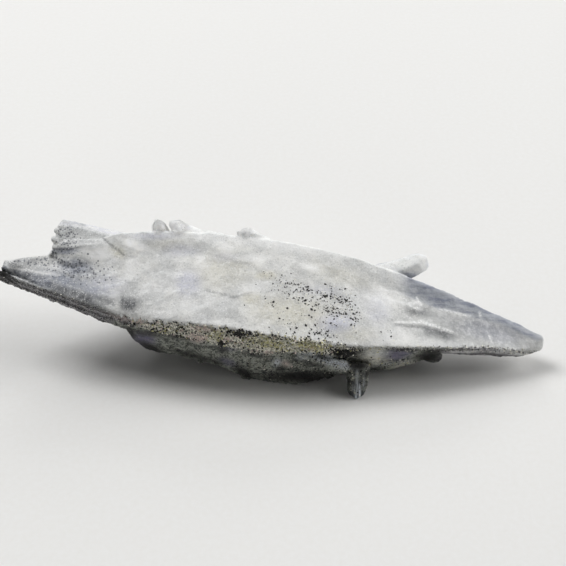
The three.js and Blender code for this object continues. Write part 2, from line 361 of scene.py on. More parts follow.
def strokes(layout, lines):  # soft lines, each (x, height, end x, end height, half width, share)
    total = np.zeros(len(layout["x"]))
    for x, height, endX, endHeight, halfWidth, share in lines:
        right, up = layout["x"] - x, layout["height"] - height
        runX, runUp = endX - x, endHeight - height
        place = np.clip((right * runX + up * runUp) / (runX ** 2 + runUp ** 2), 0, 1)
        far = np.hypot(right - place * runX, up - place * runUp)
        total = np.maximum(total, share * (1 - rise(far, halfWidth * 0.4, halfWidth * 1.6)))
    return total * layout["front"]


def balls(points, places):  # soft balls, each (x, y, z, reach, share)
    total = np.zeros(len(points))
    for x, y, z, reach, share in places:
        far = np.linalg.norm(points - (x, y, z), axis=1)
        total = np.maximum(total, share * (1 - rise(far, reach * 0.5, reach)))
    return total


# the quartz itself: the CAD's crystals with a few smaller growths, fused and given their surface

quartzShape = {
    "voxel": 0.24,  # mm
    "mostTriangles": 192000,
    "smoothing": 40,  # times over
    "pointHeight": 0.4,  # of a growth's width
    "pointWidth": 0.4,  # at the tip, of the same width
    "beadRoughness": 0.07,  # of a bead's size
}

# layers of relief in order: the texture, its grain and strength in mm, and the group it acts on
quartzRelief = {
    "swell": {"kind": "CLOUDS", "grain": 7, "strength": 0.6, "group": "free"},
    "growthLines": {
        "kind": "CLOUDS", "grain": 1, "strength": 0.44, "group": "lined", "detail": 2,
        "stretch": (24, 0.6, 0.6),  # far along x
    },
    "underLumps": {"kind": "CLOUDS", "grain": 2.4, "strength": 1.0, "group": "under"},
    "crustLumps": {"kind": "VORONOI", "grain": 1.5, "strength": 0.9, "group": "crust", "level": 0.4},
    "crustGrain": {"kind": "CLOUDS", "grain": 0.6, "strength": 0.54, "group": "crust", "detail": 1},
    "endBeads": {"kind": "VORONOI", "grain": 1.2, "strength": 0.3, "group": "ends", "level": 0.35},
    "dents": {"kind": "VORONOI", "grain": 3.4, "strength": 0.22, "group": "free", "level": 0.4},
    "sugar": {"kind": "CLOUDS", "grain": 0.9, "strength": 0.12, "group": "free", "detail": 2},
}

quartzGrowths = {
    # small crystals: tip, base, width, thickness as a share of the width, and the way the flat side faces
    "points": [
        ((-54.6, 1.2, 19.7), (-46, 1.4, 18.2), 2.2, 0.8, (0, -0.5, 1)),
        ((-43.4, 2.5, 21.7), (-33, 2.3, 21.2), 7.2, 0.34, (0, -0.7, 0.7)),
        ((-43.9, 3.3, 22.6), (-34, 3.2, 22.2), 4.2, 0.5, (0, -0.75, 0.66)),
        ((-23.7, 7.5, 25.8), (-23.1, 6.2, 22.6), 1.2, 0.8, (0, -1, 0.4)),
        ((-22.6, 7.2, 24.8), (-21.9, 6.2, 22.6), 1.0, 0.8, (0.3, -1, 0.4)),
        ((-21.6, 7.3, 24.5), (-21.2, 6.3, 22.6), 0.9, 0.8, (-0.3, -1, 0.4)),
        ((-20.7, 7.6, 25.5), (-15.9, 6.4, 22.5), 1.5, 0.5, (0, -0.7, 0.7)),
        ((-18.4, 7.2, 24.6), (-13.8, 6.2, 22.2), 1.1, 0.6, (0, -0.5, 1)),
        ((-7.1, 6.8, 24.3), (-3.4, 6, 22), 1.0, 0.7, (0, -0.6, 0.8)),
        ((-4, 6.6, 24), (0.6, 6, 21.6), 1.2, 0.6, (0, -0.5, 0.9)),
        ((31.2, 5.9, 18.3), (23, 3.6, 14.6), 1.7, 0.7, (0, -0.5, 0.9)),
        ((30, 6.4, 18.2), (22, 4, 14.6), 1.4, 0.7, (0, -0.5, 0.9)),
    ],
    # beads on the worn ends: place and size
    "beads": [
        ((-43.7, 6.2, 24.9), 1.5), ((-44.1, 4.7, 23.9), 1.7), ((-44.0, 3.7, 22.6), 1.6),
        ((-54.0, 2.1, 19.5), 1.3), ((-54.2, 1.2, 19.2), 1.3), ((-54.8, 0.0, 18.2), 1.5),
        ((-44.9, 3.3, 21.2), 1.3),
    ],
}


def makeGrowth(tip, base, width, thickness, facing):
    pointHeight, pointWidth = quartzShape["pointHeight"] * width, quartzShape["pointWidth"]
    axis = Vector(tip) - Vector(base)
    bpy.ops.object.select_all(action="DESELECT")
    bpy.ops.mesh.primitive_cylinder_add(vertices=6, radius=width / 2, depth=axis.length)
    growth = bpy.context.active_object
    bpy.ops.object.mode_set(mode="EDIT")
    bpy.ops.mesh.select_all(action="DESELECT")
    bpy.ops.object.mode_set(mode="OBJECT")
    for face in growth.data.polygons:
        face.select = face.normal.z > 0.9
    bpy.ops.object.mode_set(mode="EDIT")
    bpy.ops.transform.translate(value=(0, 0, -pointHeight))
    bpy.ops.mesh.extrude_region_move(TRANSFORM_OT_translate={"value": (0, 0, pointHeight)})
    bpy.ops.transform.resize(value=(pointWidth, pointWidth, 1), center_override=(0, 0, 0))
    bpy.ops.object.mode_set(mode="OBJECT")
    length = axis.normalized()
    side = Vector(facing).cross(length).normalized()
    up = length.cross(side)
    turn = Matrix((up * thickness, -side, length)).transposed().to_4x4()
    middle = (Vector(tip) + Vector(base)) / 2
    applyPlace(growth, Matrix.Diagonal((mm, mm, mm, 1)) @ Matrix.Translation(middle) @ turn)
    return growth


def makeBead(place, size, seed):
    bpy.ops.object.select_all(action="DESELECT")
    bpy.ops.mesh.primitive_ico_sphere_add(subdivisions=2, radius=size / 2 * mm, location=Vector(place) * mm)
    bead = bpy.context.active_object
    bpy.ops.object.mode_set(mode="EDIT")
    bpy.ops.transform.vertex_random(offset=size * quartzShape["beadRoughness"] * mm, seed=seed)
    bpy.ops.object.mode_set(mode="OBJECT")
    bpy.ops.object.transform_apply(location=True, rotation=True, scale=True)
    return bead


def copyOfCrystals():
    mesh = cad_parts["quartz_cluster"].data.copy()
    mesh.materials.clear()
    crystals = bpy.data.objects.new("crystals", mesh)
    bpy.context.scene.collection.objects.link(crystals)
    selectOnly(crystals)
    bpy.ops.object.mode_set(mode="EDIT")
    bpy.ops.mesh.select_all(action="SELECT")
    bpy.ops.mesh.remove_doubles(threshold=1e-6)
    bpy.ops.object.mode_set(mode="OBJECT")
    return crystals


def makeGuide(name, stretch):  # what draws a texture out along x
    guide = bpy.data.objects.new(name, None)
    bpy.context.scene.collection.objects.link(guide)
    guide.scale = stretch
    bpy.context.view_layer.update()
    return guide


def addRelief(piece, name, kind, grain, strength, group, detail=3, level=0.5, stretch=None):
    texture = bpy.data.textures.new(name, kind)
    texture.noise_scale = grain * mm
    if kind == "CLOUDS":
        texture.noise_depth = detail
    settings = {"texture": texture, "strength": strength * mm, "mid_level": level, "vertex_group": group}
    if stretch:
        settings.update(texture_coords="OBJECT", texture_coords_object=makeGuide(name, stretch))
    applyModifier(piece, "DISPLACE", **settings)
    if stretch:
        bpy.data.objects.remove(settings["texture_coords_object"])


def reliefGroups(layout):  # how far smoothing and relief act on each point
    x, free, depth = layout["x"], layout["free"], layout["depth"]
    dirty = rise(layout["below"], -0.3, 0.3)
    middle = rise(x, -33, -27) * fall(x, 14, 20)
    under = rise(depth, 0.85, 1.2) * (0.45 * rise(x, -33, -27) + 0.55 * rise(x, -22, -10))
    plain = fall(layout["below"], -1.6, -0.6) * layout["front"] * (1 - layout["bevel"])
    return {
        "face": plain * rise(x, -38, -33) * fall(layout["crest"], -1.4, -0.4),
        "tip": rise(x, 51, 54),
        "free": free,
        "lined": np.maximum(0.04 + 0.2 * layout["back"], dirty * (1 - middle)) * free,
        "crust": dirty * middle * fall(depth, 0.85, 1.25) * free,
        "under": (under + 0.25 * dirty * (1 - under)) * free,
        "ends": spots(layout, quartzStains["endSpecks"]) * (1 - dirty),
    }


def surfaceRelief(quartz):
    for name, shares in reliefGroups(layOut(pointsOf(quartz))).items():
        weightGroup(quartz, name, shares)
    for name in ("face", "tip"):
        applyModifier(quartz, "SMOOTH", factor=0.8, iterations=quartzShape["smoothing"], vertex_group=name)
    for name, given in quartzRelief.items():
        addRelief(quartz, name, **given)


def makeQuartz():
    shape = quartzShape
    parts = [copyOfCrystals()]
    parts += [makeGrowth(*given) for given in quartzGrowths["points"]]
    parts += [makeBead(place, size, seed) for seed, (place, size) in enumerate(quartzGrowths["beads"])]
    quartz = joined(parts, "quartz_crystals")
    applyModifier(quartz, "REMESH", mode="VOXEL", voxel_size=shape["voxel"] * mm)
    print("fused:", triangles(quartz), "triangles")
    surfaceRelief(quartz)
    applyModifier(quartz, "DECIMATE", ratio=min(1, shape["mostTriangles"] / triangles(quartz)))
    for point in quartz.data.vertices:
        point.co.z = max(point.co.z, 0)
    selectOnly(quartz)
    bpy.ops.object.shade_smooth()
    quartz.vertex_groups.clear()
    print("quartz crystals:", triangles(quartz), "triangles")
    return quartz


# where the stains, veils and specks lie on the front, and the painted shade and painted highlights among
# them, as soft ovals for spots()
quartzStains = {
    "smoky": [
        (-51.5, 16.3, 5, 1.4, 6, 0.8), (-50, 15.2, 4, 1.3, -10, 0.8), (-49.8, 14.3, 3, 1.2, -28, 0.9),
        (-44.5, 12.6, 9, 3, -20, 0.6), (-37, 9.6, 7, 1.4, -20, 0.8), (-42.5, 22.6, 4, 3, 0, 0.45),
        (-44.2, 18.9, 1.6, 1.2, 0, 0.7), (-40.5, 16, 6, 2.6, -10, 0.45), (44, 5, 14, 3.6, -20, 0.65),
        (33, 8.5, 7, 3, -20, 0.5), (30, 4, 6, 2.4, -10, 0.45), (-27.6, 7.8, 3.4, 2.6, 0, 0.4),
        (47, 1.6, 6, 2, -12, 0.5), (41, 2.8, 5, 1.6, -12, 0.4), (52, 0.4, 5, 3, 0, 0.05),
        (-36, 21, 5, 2, 0, 0.2), (37, 3, 8, 3, -10, 0.35), (-47, 15, 8, 3, 0, 0.35),
        (-38.5, 23.4, 7, 1.4, -10, 0.75), (-42, 21.4, 2.6, 2.2, 0, 0.3), (38, 1.4, 6, 2, -8, 0.4),
        (21, 4, 4, 3, 0, 0.15), (-38.5, 20.7, 5, 1.1, 0, 0.8), (41, 3.4, 10, 3.4, -16, 0.85),
        (30, 8.6, 4, 1.4, -24, 0.4), (-40.5, 15.4, 3.4, 1.6, 0, 0.6),
    ],
    # darker spots and patches; the thin one at height 19.3 under the left step is painted shade in the
    # crease below its edge
    "dark": [
        (-28.3, 8.1, 1.7, 1.4, 0, 1), (-29.6, 8.5, 0.5, 1.4, 0, 1), (-27.4, 8, 0.5, 1.6, 0, 1),
        (29.9, 6.5, 2.6, 0.9, -8, 0.75), (34.2, 2.3, 3.2, 1.3, -14, 0.85), (32, 2.7, 1.2, 1.1, 0, 0.85),
        (-37.2, 8.6, 5, 0.8, -20, 0.7), (-49.6, 14, 2.8, 1.1, -28, 1), (-46.7, 13.2, 2.4, 0.9, -20, 0.6),
        (-5.6, 23.2, 0.6, 0.9, 0, 0.7), (-41.6, 19.3, 2.4, 0.4, 0, 0.9), (-52.5, 16.5, 1.6, 0.6, 0, 0.4),
        (-47.2, 17.3, 2.6, 0.5, 5, 0.5), (-44.3, 17.6, 0.7, 0.9, 0, 0.8),
        (-33.5, 9.2, 2.4, 0.7, -15, 0.5),
    ],
    # bluish grey: the clear ends' own tint; the ovals along the right end's bevel and the thin one under
    # the left step are painted shade
    "blue": [
        (-41.6, 18.9, 2.6, 0.7, 0, 0.9), (-39.7, 15.5, 4, 1.8, -10, 0.7), (-41, 12.8, 6, 1.6, -15, 0.7),
        (-46.6, 12.9, 4, 1, -20, 0.9), (-52.8, 14.6, 2.4, 0.8, -25, 0.9), (31.6, 12, 3.4, 1.5, -22, 0.9),
        (34.7, 9.5, 4, 1.3, -22, 0.9), (42, 7.5, 5, 1, -24, 0.8), (48.8, 4.6, 4.4, 0.8, -25, 0.8),
        (53.7, 1.8, 1.8, 0.7, -25, 0.6), (-37, 11.4, 4, 1.4, -15, 0.5),
    ],
    "lilac": [
        (-16.6, 12.4, 2.6, 2.6, 0, 0.7), (-18.4, 19.1, 3.4, 1.4, 0, 0.5), (13, 4.4, 3.4, 1.8, 0, 0.75),
        (21.6, 7, 2.4, 2.8, 0, 0.5), (44.4, 2.6, 7, 2, -10, 0.6), (-33.3, 12, 4, 2.2, 0, 0.5),
        (9.9, 11, 4, 1, 0, 0.3), (-24, 22, 5, 0.8, 0, 0.5), (-9, 17.6, 3, 1, 0, 0.3),
    ],
    "warm": [
        (-9.2, 15, 6.4, 4, 0, 0.5), (3.8, 6.7, 8.5, 3.2, -5, 0.7), (14, 14.1, 7, 2.2, -15, 0.4),
        (16.8, 2.1, 4, 1.8, 0, 0.5), (-1.2, 14, 2.6, 1, 0, 0.8), (-3.9, 9.4, 2.2, 1.3, 0, 0.8),
        (-19.5, 20.1, 4.4, 1.4, 0, 0.4), (-31, 18.6, 2, 1.2, -30, 0.7),
    ],
    # white patches; those on the crest points and the facet by the cleft are partly painted highlight
    "bright": [
        (-27.6, 20.2, 2.8, 0.9, -18, 1), (-22.7, 24, 1.8, 1.6, 0, 0.9), (-18.4, 23.8, 3.6, 1.4, 0, 0.9),
        (-5.4, 23.4, 3, 1, 0, 0.7), (-35, 18.3, 2.4, 1.3, 0, 1), (-28.3, 15.4, 1, 1.8, 0, 0.6),
        (-9.2, 19.7, 1.8, 0.8, -25, 0.6), (-4.1, 17.5, 3, 0.8, 0, 0.5), (8.3, 15.5, 2, 0.7, -10, 0.6),
        (3.9, 20.2, 7, 1.1, -10, 0.5), (-14.3, 16.7, 1, 2.6, 0, 0.3), (21.1, 9, 4.4, 2.4, 0, 0.4),
        (24.8, 2, 4.4, 1.8, 0, 0.4), (-53.3, 16.9, 1.2, 0.6, 20, 0.7), (-4, 11.5, 3, 1.4, 0, 0.4),
        (-22, 12, 2.4, 1.6, 0, 0.3), (-16, 8, 3, 1.6, 0, 0.3),
    ],
    "endSpecks": [
        (-41.8, 22, 2.4, 3, 0, 1), (-52.8, 16.7, 2.4, 0.9, 0, 1), (-47.5, 16.7, 4.6, 1, 4, 1),
        (-39.4, 15.4, 6, 2.4, -14, 1), (-44.2, 18.4, 1.2, 1.1, 0, 1), (-48.5, 13.4, 5, 1, -22, 0.7),
    ],
    "specks": [
        (6.8, 10.6, 7.2, 2.2, -18, 0.8), (12.9, 8, 4.6, 3.2, -20, 1), (5.8, 4.1, 6.6, 2.8, -20, 0.32),
        (10.8, 2.1, 3.8, 1.8, -45, 0.7), (0.2, 9.4, 1.6, 2.4, 60, 0.4), (23.8, 1.6, 1.6, 2, 0, 0.25),
        (2.2, 14, 3.4, 0.8, -10, 0.4), (16.8, 5.4, 1.4, 2.2, 0, 0.6),
    ],
    # black minerals and patches; the ovals low on the underside by the floor and under the crust's lip are
    # painted shade
    "black": [
        (-5.4, 2.6, 2.7, 0.9, 0, 1), (-9.7, 0.3, 1.1, 0.6, 30, 0.9), (14.8, -1.6, 3.6, 1.1, 0, 1),
        (10.4, -2.2, 2, 0.6, -20, 0.8), (-24.4, 5.3, 0.7, 0.7, 0, 0.7), (-19.9, 4.9, 3, 0.4, -3, 0.7),
        (-22.1, 3, 2.2, 0.5, -5, 0.4), (5.9, -6.6, 9, 1.5, 0, 1), (9.5, -7.2, 7, 1.2, 0, 1),
        (-5.4, -6, 3, 1.2, -30, 0.95), (20.5, -5.6, 2.6, 0.9, 15, 0.9), (-28.9, 2.1, 1.6, 1.8, -45, 1),
        (-54, 14.2, 2.4, 1.2, -30, 1), (-24.6, -0.9, 4, 0.9, -25, 0.95), (26.5, -0.7, 2.8, 0.6, 0, 0.9),
        (8, -3.9, 3.4, 0.7, -10, 0.7), (-15.5, -2.6, 6, 0.8, -14, 0.8), (-25, 2.3, 3.4, 0.8, -6, 0.8),
        (-19, 1.6, 4, 0.6, -8, 0.6), (-9.6, -1, 1.2, 1, 20, 0.7), (-2.6, -2.2, 3.4, 0.5, -12, 0.6),
        (32.2, -2.5, 3, 2.1, 0, 1), (17.8, -4.3, 2.6, 0.8, 0, 1), (2, -5, 1.6, 0.8, 20, 0.7),
        (-11, -4.2, 1.4, 0.8, 30, 0.7),
    ],
    "purple": [
        (25.4, -1.9, 2.8, 1.6, 0, 1), (-26, 1, 2.6, 1.5, 0, 1), (-8.8, -3.7, 1.8, 0.9, -20, 0.7),
        (-8, -0.6, 2, 0.8, 0, 0.5),
    ],
    "olive": [
        (-10.6, 2.1, 1.1, 1.5, 0, 1), (8.2, 0.1, 3.6, 1.1, -12, 1), (-0.5, 0.6, 4.4, 1.3, -10, 0.8),
        (-21, 2.7, 2, 0.5, -8, 0.5), (20.8, -2.4, 3.2, 2.2, 0, 1), (27, -4.4, 3, 0.8, 12, 0.6),
    ],
    "pink": [
        (-14.7, 1.5, 1.7, 1.1, 0, 1), (-0.6, -1.4, 1.1, 0.5, 0, 0.8), (3, -3.9, 1.1, 0.7, -30, 0.8),
        (-28.8, 5.7, 3.8, 1, -15, 0.8), (-8.5, 1.3, 0.7, 0.7, 0, 0.9), (-13, 3.6, 3, 0.7, -3, 0.7),
    ],
    "frost": [
        (11.6, -3, 4.4, 0.9, -20, 1), (21.2, -1.6, 2.4, 1, 0, 0.35), (14.6, -3.8, 1.2, 0.9, -30, 1),
        (22.6, -4.4, 2.4, 0.4, 10, 0.3), (50, -1.9, 5.5, 0.6, -6, 1), (39.5, -1.5, 4, 0.4, 0, 0.7),
        (1.2, -3.6, 0.8, 0.9, -50, 0.7), (6.6, -2.1, 1.6, 0.9, 0, 0.4), (-23.6, 3.4, 3.6, 0.2, -12, 0.8),
    ],
}

# fine lines on the front, for strokes()
quartzStrokes = {
    "gleam": [
        (22.7, 9.6, 26, 8.6, 0.2, 0.8), (26, 8.7, 30.1, 7.1, 0.28, 1), (25, 4.6, 31.2, 4.5, 0.2, 1),
        (30.1, 4.7, 36.7, 2.5, 0.28, 1), (34.6, 7.1, 40.8, 5.6, 0.25, 0.7),
        (22.5, 11.2, 27.2, 10.2, 0.2, 0.7), (29.8, 9.4, 30.6, 8, 0.25, 0.9), (27, 8, 29.6, 8.4, 0.3, 0.8),
        (42.8, 6.6, 43.1, 5.2, 0.2, 0.8), (44.6, 1.6, 45, 0.4, 0.2, 0.7),
    ],
    # white lines; the first three, on the facet by the cleft, are partly painted highlight
    "bright": [
        (-30.1, 20.5, -26.2, 19.1, 0.25, 1), (-29.4, 21, -25.9, 20.2, 0.2, 0.9),
        (-31.5, 21.4, -27.6, 20.9, 0.2, 0.7), (-42.9, 19.8, -34.7, 20.5, 0.2, 0.4),
        (-45.7, 17.4, -41, 17.2, 0.2, 0.4), (-53.2, 15.5, -42.7, 14, 0.2, 0.5),
        (-53.9, 16.2, -51.6, 13.4, 0.2, 0.8),
    ],
    "dark": [
        (-52.6, 15.2, -48.4, 12.7, 0.8, 0.5), (-48.4, 13.3, -43.4, 11.5, 0.6, 0.7),
        (-43.4, 11.4, -36.4, 9.2, 0.9, 0.9), (-36.4, 8.6, -33.4, 7.2, 0.5, 0.6),
        (-34.6, 21.8, -29.8, 18.1, 0.25, 0.6), (-29.8, 18.1, -27.4, 17.6, 0.2, 0.3),
        (-13.1, 11, -7.1, 9.6, 0.2, 0.45), (-7.1, 9.6, -3.8, 10.6, 0.2, 0.4),
        (24.9, 4.1, 34.2, 3.1, 0.25, 0.6), (28.2, 6.3, 32.4, 7.3, 0.25, 0.4),
        # the first line here is painted shade in the crease under the left step's edge
        (-43.4, 19.4, -37.8, 19.7, 0.2, 0.7), (-38, 10.6, -31, 8, 0.2, 0.5),
        (-12.6, 18.4, -3, 15.6, 0.2, 0.2),
    ],
}

# places in the cluster's own frame, for balls(): the clearest crystal ends, crest points and spurs,
# the thin ones that light shines through, and the striped spur at the foot
quartzBalls = {
    "clear": [
        (-43.6, 6, 24, 4.5, 0.2), (-54.4, 1.2, 19, 4, 0.3), (-22.8, 7, 25.4, 2.4, 0.6),
        (-19.2, 7.2, 25.4, 3.4, 0.45), (-5.6, 7, 24.6, 2.8, 0.35), (31.5, 5.6, 17.6, 8, 0.05),
        (17.6, -16.4, 2, 5, 0.3), (55, -6.5, 5, 7, 0.12),
    ],
    "glow": [
        (30.5, 5, 17.2, 9, 0.6), (-22.8, 7, 26, 3, 0.8), (-19.2, 7.2, 25.8, 4, 0.8),
        (-5.6, 7, 24.8, 3.4, 0.8), (-27.6, 3.3, 23.5, 3.4, 0.8), (-43.6, 4.6, 23.4, 3.4, 0.5),
    ],
    "foot": [(17.5, -13.2, 3.6, 2.6, 1), (17.4, -14.8, 2, 2.6, 1), (17.3, -16.4, 0.5, 2.6, 1)],
}


def paintQuartz(quartz):
    points = pointsOf(quartz)
    layout = layOut(points)
    for name in ("below", "depth", "bevel", "crest", "back"):
        paint(quartz, name, layout[name])
    for name in dict.fromkeys((*quartzStains, *quartzStrokes)):
        shares = spots(layout, quartzStains.get(name, []))
        paint(quartz, name, np.maximum(shares, strokes(layout, quartzStrokes.get(name, []))))
    for name, places in quartzBalls.items():
        paint(quartz, name, balls(points, places))


quartzLook = {
    "milk": tone(228, 228, 225),
    "milkShade": tone(207, 208, 207),
    "white": tone(250, 250, 249),
    # whiter along the crest: partly whiter quartz, partly painted highlight; also the frost on the banded
    # ends
    "crest": tone(234, 235, 234),
    "blue": tone(128, 136, 158),
    "lilac": tone(196, 198, 216),
    "warm": tone(212, 208, 190),
    "smoke": tone(96, 99, 102),
    "stainAndShade": tone(62, 65, 70),
    # the darker spots' tone, also used as painted shade under the left step's edge
    "endSpeck": tone(78, 82, 92),
    # painted shade on the right end's steep bevel facet, in its bluish grey
    "bevel": tone(168, 172, 179),
    "bevelDeepShade": tone(124, 129, 144),
    # black, also used as painted shade low on the underside
    "black": tone(22, 22, 21),
    "crustPale": tone(248, 245, 232),
    "crustPink": tone(236, 218, 210),
    "crustOlive": tone(208, 204, 156),
    "crustGrey": tone(184, 183, 170),
    "crustDark": tone(34, 33, 31),
    "under": tone(184, 187, 176),
    "underDark": tone(50, 54, 52),
    "spurDark": tone(44, 47, 48),
    "frost": tone(236, 242, 248),
    "purple": tone(122, 118, 144),
    "lineDark": tone(22, 22, 25),
    "linePale": tone(196, 194, 196),
    "absorb": (0.84, 0.88, 0.92, 1),
    "absorbDensity": 45.0,
    "scatterTint": (1.0, 0.97, 0.92),
    "scatter": (0.0014, 0.004),  # m, where it is milky and where light shines through
    "ior": 1.544,
}


def milkyFace(tree, calm, noise, stainAndShade):  # mottled milk with veils, stains and fine growth lines
    look = quartzLook
    colour = blend(tree, ramp(tree, noise["broad"], 0.38, 0.62), look["milk"], look["milkShade"])
    # whiter towards the crest line, partly painted highlight
    colour = blend(tree, ramp(tree, painted(tree, "crest"), -2.4, 0.4, 0, 0.8), colour, look["crest"])
    colour = blend(tree, ramp(tree, noise["veil"], 0.48, 0.7, 0, 0.6), colour, look["white"])
    colour = blend(tree, ramp(tree, noise["fine"], 0.5, 0.72, 0, 0.5), colour, look["milkShade"])
    colour = blend(tree, ramp(tree, noise["lines"], 0.5, 0.7, 0, 0.12), colour, look["milkShade"])
    veils = times(tree, painted(tree, "back"), ramp(tree, noise["veil"], 0.38, 0.66, 0.1, 0.6))
    colour = blend(tree, veils, colour, look["lilac"])
    smoky = times(tree, painted(tree, "back"), ramp(tree, noise["broad"], 0.4, 0.68, 0.05, 0.45))
    colour = blend(tree, smoky, colour, look["smoke"])
    colour = stainAndShade(colour, "warm", "warm", 0.9)
    colour = stainAndShade(colour, "lilac", "lilac", 0.9)
    colour = stainAndShade(colour, "smoky", "smoke", 0.75, least=0.5)
    # bluish grey tint, partly painted shade along the right bevel and in the crease under the left step
    colour = stainAndShade(colour, "blue", "blue", 0.9, least=0.4)
    # the right end's bevel facet: painted shade in bluish grey, streaked along its length
    bevelShade = times(tree, painted(tree, "bevel"), ramp(tree, noise["fine"], 0.3, 0.7, 0.9, 0.5))
    streaks = plus(tree, noise["lines"], times(tree, noise["veil"], 0.8))
    bevel = blend(tree, ramp(tree, streaks, 0.74, 1.0), look["bevelDeepShade"], look["bevel"])
    colour = blend(tree, bevelShade, colour, bevel)
    # darker spots, with painted shade in the crease under the left step
    colour = stainAndShade(colour, "dark", "stainAndShade", 0.95, least=0.75)
    dust = times(tree, calm, ramp(tree, noise["grain"], 0.55, 0.68, 0, 0.35))
    colour = blend(tree, dust, colour, look["smoke"])
    # white patches, partly painted highlight on the crest points and by the cleft
    colour = stainAndShade(colour, "bright", "white", 1.0, 0.2, 0.45)
    gleam = times(tree, painted(tree, "gleam"), ramp(tree, noise["grain"], 0.38, 0.56, 0.2, 1))
    colour = blend(tree, gleam, colour, look["white"])
    sugar = times(tree, ramp(tree, noise["grain"], 0.45, 0.33, 0, 0.6), rest(tree, painted(tree, "bevel")))
    return blend(tree, times(tree, sugar, calm), colour, look["white"])


def crustMosaic(tree, inMm, noise, stainAndShade):  # packed grains, each of one tint
    look = quartzLook
    pick = channel(tree, cells(tree, inMm, 2.3).outputs["Color"], 1)
    crust = blend(tree, ramp(tree, pick, 0.14, 0.16), look["crustDark"], look["crustGrey"])
    crust = blend(tree, ramp(tree, pick, 0.48, 0.5), crust, look["crustOlive"])
    crust = blend(tree, ramp(tree, pick, 0.56, 0.58), crust, look["crustPale"])
    crust = blend(tree, ramp(tree, noise["veil"], 0.54, 0.66, 0, 0.5), crust, look["crustPale"])
    crust = blend(tree, ramp(tree, noise["veil"], 0.44, 0.34, 0, 0.6), crust, look["crustDark"])
    crust = stainAndShade(crust, "olive", "crustOlive", 0.55)
    crust = stainAndShade(crust, "pink", "crustPink", 0.8)
    crust = blend(tree, ramp(tree, noise["grain"], 0.56, 0.66, 0, 0.85), crust, look["crustDark"])
    return stainAndShade(crust, "black", "black", 1.0, 0.35, 0.5, 0.2)


def bandedEdge(tree, ragged, noise, stainAndShade):  # dark and pale bands along both tapering ends
    look = quartzLook
    wide = maths(tree, "SINE", times(tree, plus(tree, ragged, times(tree, noise["lines"], 1.2)), 5.5))
    narrow = maths(tree, "SINE", times(tree, plus(tree, ragged, times(tree, noise["lines"], 0.8)), 17))
    waves = plus(tree, times(tree, wide, 0.8), times(tree, narrow, 0.8))
    share = ramp(tree, plus(tree, waves, times(tree, noise["grain"], 2.6)), 1.0, 2.2)
    edge = blend(tree, share, look["lineDark"], look["linePale"])
    edge = stainAndShade(edge, "frost", "crest", 0.85)
    edge = stainAndShade(edge, "pink", "crustPink", 0.6)
    return stainAndShade(edge, "black", "black", 1.0, 0.3, 0.5)


def dirtyUnderside(tree, inMm, noise, stainAndShade):  # mottled and streaked, with a striped spur at its foot
    look = quartzLook
    mottle = plus(tree, times(tree, noise["fine"], 0.55), times(tree, noise["grain"], 0.45))
    under = blend(tree, ramp(tree, mottle, 0.38, 0.6), look["underDark"], look["under"])
    streaks = cloud(tree, stretched(tree, inMm, 0.3, 1, 1), 1.1, 4, 0.6)
    under = blend(tree, ramp(tree, streaks, 0.5, 0.64, 0, 0.7), under, look["underDark"])
    under = blend(tree, ramp(tree, noise["grain"], 0.6, 0.72, 0, 0.6), under, look["crustPale"])
    under = stainAndShade(under, "olive", "crustPale", 0.8)
    under = stainAndShade(under, "pink", "crustPink", 0.8)
    under = stainAndShade(under, "purple", "purple", 0.95)
    frosted = times(tree, painted(tree, "frost"), ramp(tree, noise["grain"], 0.4, 0.56, 0.45, 1))
    under = blend(tree, frosted, under, look["frost"])
    stripes = cloud(tree, stretched(tree, inMm, 1.2, 0.14, 0.14), 1.1, 4, 0.6)
    spur = blend(tree, ramp(tree, stripes, 0.42, 0.7, 0, 0.8), look["spurDark"], look["frost"])
    under = blend(tree, painted(tree, "foot"), under, spur)
    # black marks, partly painted shade low on the underside near the floor
    return stainAndShade(under, "black", "black", 1.0, 0.25, 0.45)


def wornGrains(tree, inMm, noise, colour):  # dark grains under the skin of the worn ends
    cell = cells(tree, inMm, 2.4)
    pick = channel(tree, cell.outputs["Color"], 0)
    chosen = maths(tree, "LESS_THAN", pick, times(tree, painted(tree, "endSpecks"), 0.6))
    near = plus(tree, cell.outputs["Distance"], times(tree, noise["grain"], 0.5))
    share = times(tree, chosen, ramp(tree, near, 0.62, 0.9, 0.8, 0))
    return blend(tree, share, colour, quartzLook["endSpeck"])


def dirtColour(tree, inMm, ragged, noise, stainAndShade):  # the crust, the banded edges at both ends, the underside
    x = wire(tree, "ShaderNodeSeparateXYZ", {"Vector": inMm}).outputs[0]
    edge = bandedEdge(tree, ragged, noise, stainAndShade)
    ends = greater(tree, ramp(tree, x, -29, -23, 1, 0), ramp(tree, x, 31, 35))
    dirt = blend(tree, ends, crustMosaic(tree, inMm, noise, stainAndShade), edge)
    deep = ramp(tree, plus(tree, painted(tree, "depth"), times(tree, noise["grain"], 0.5)), 1.05, 1.3)
    deep = greater(tree, deep, ramp(tree, x, 15, 18))
    deep = greater(tree, deep, ramp(tree, painted(tree, "back"), 0.2, 0.8, 0, 0.75))
    deep = times(tree, deep, ramp(tree, x, -34, -30))
    dirt = blend(tree, deep, dirt, dirtyUnderside(tree, inMm, noise, stainAndShade))
    return blend(tree, ramp(tree, x, 33, 35), dirt, edge)


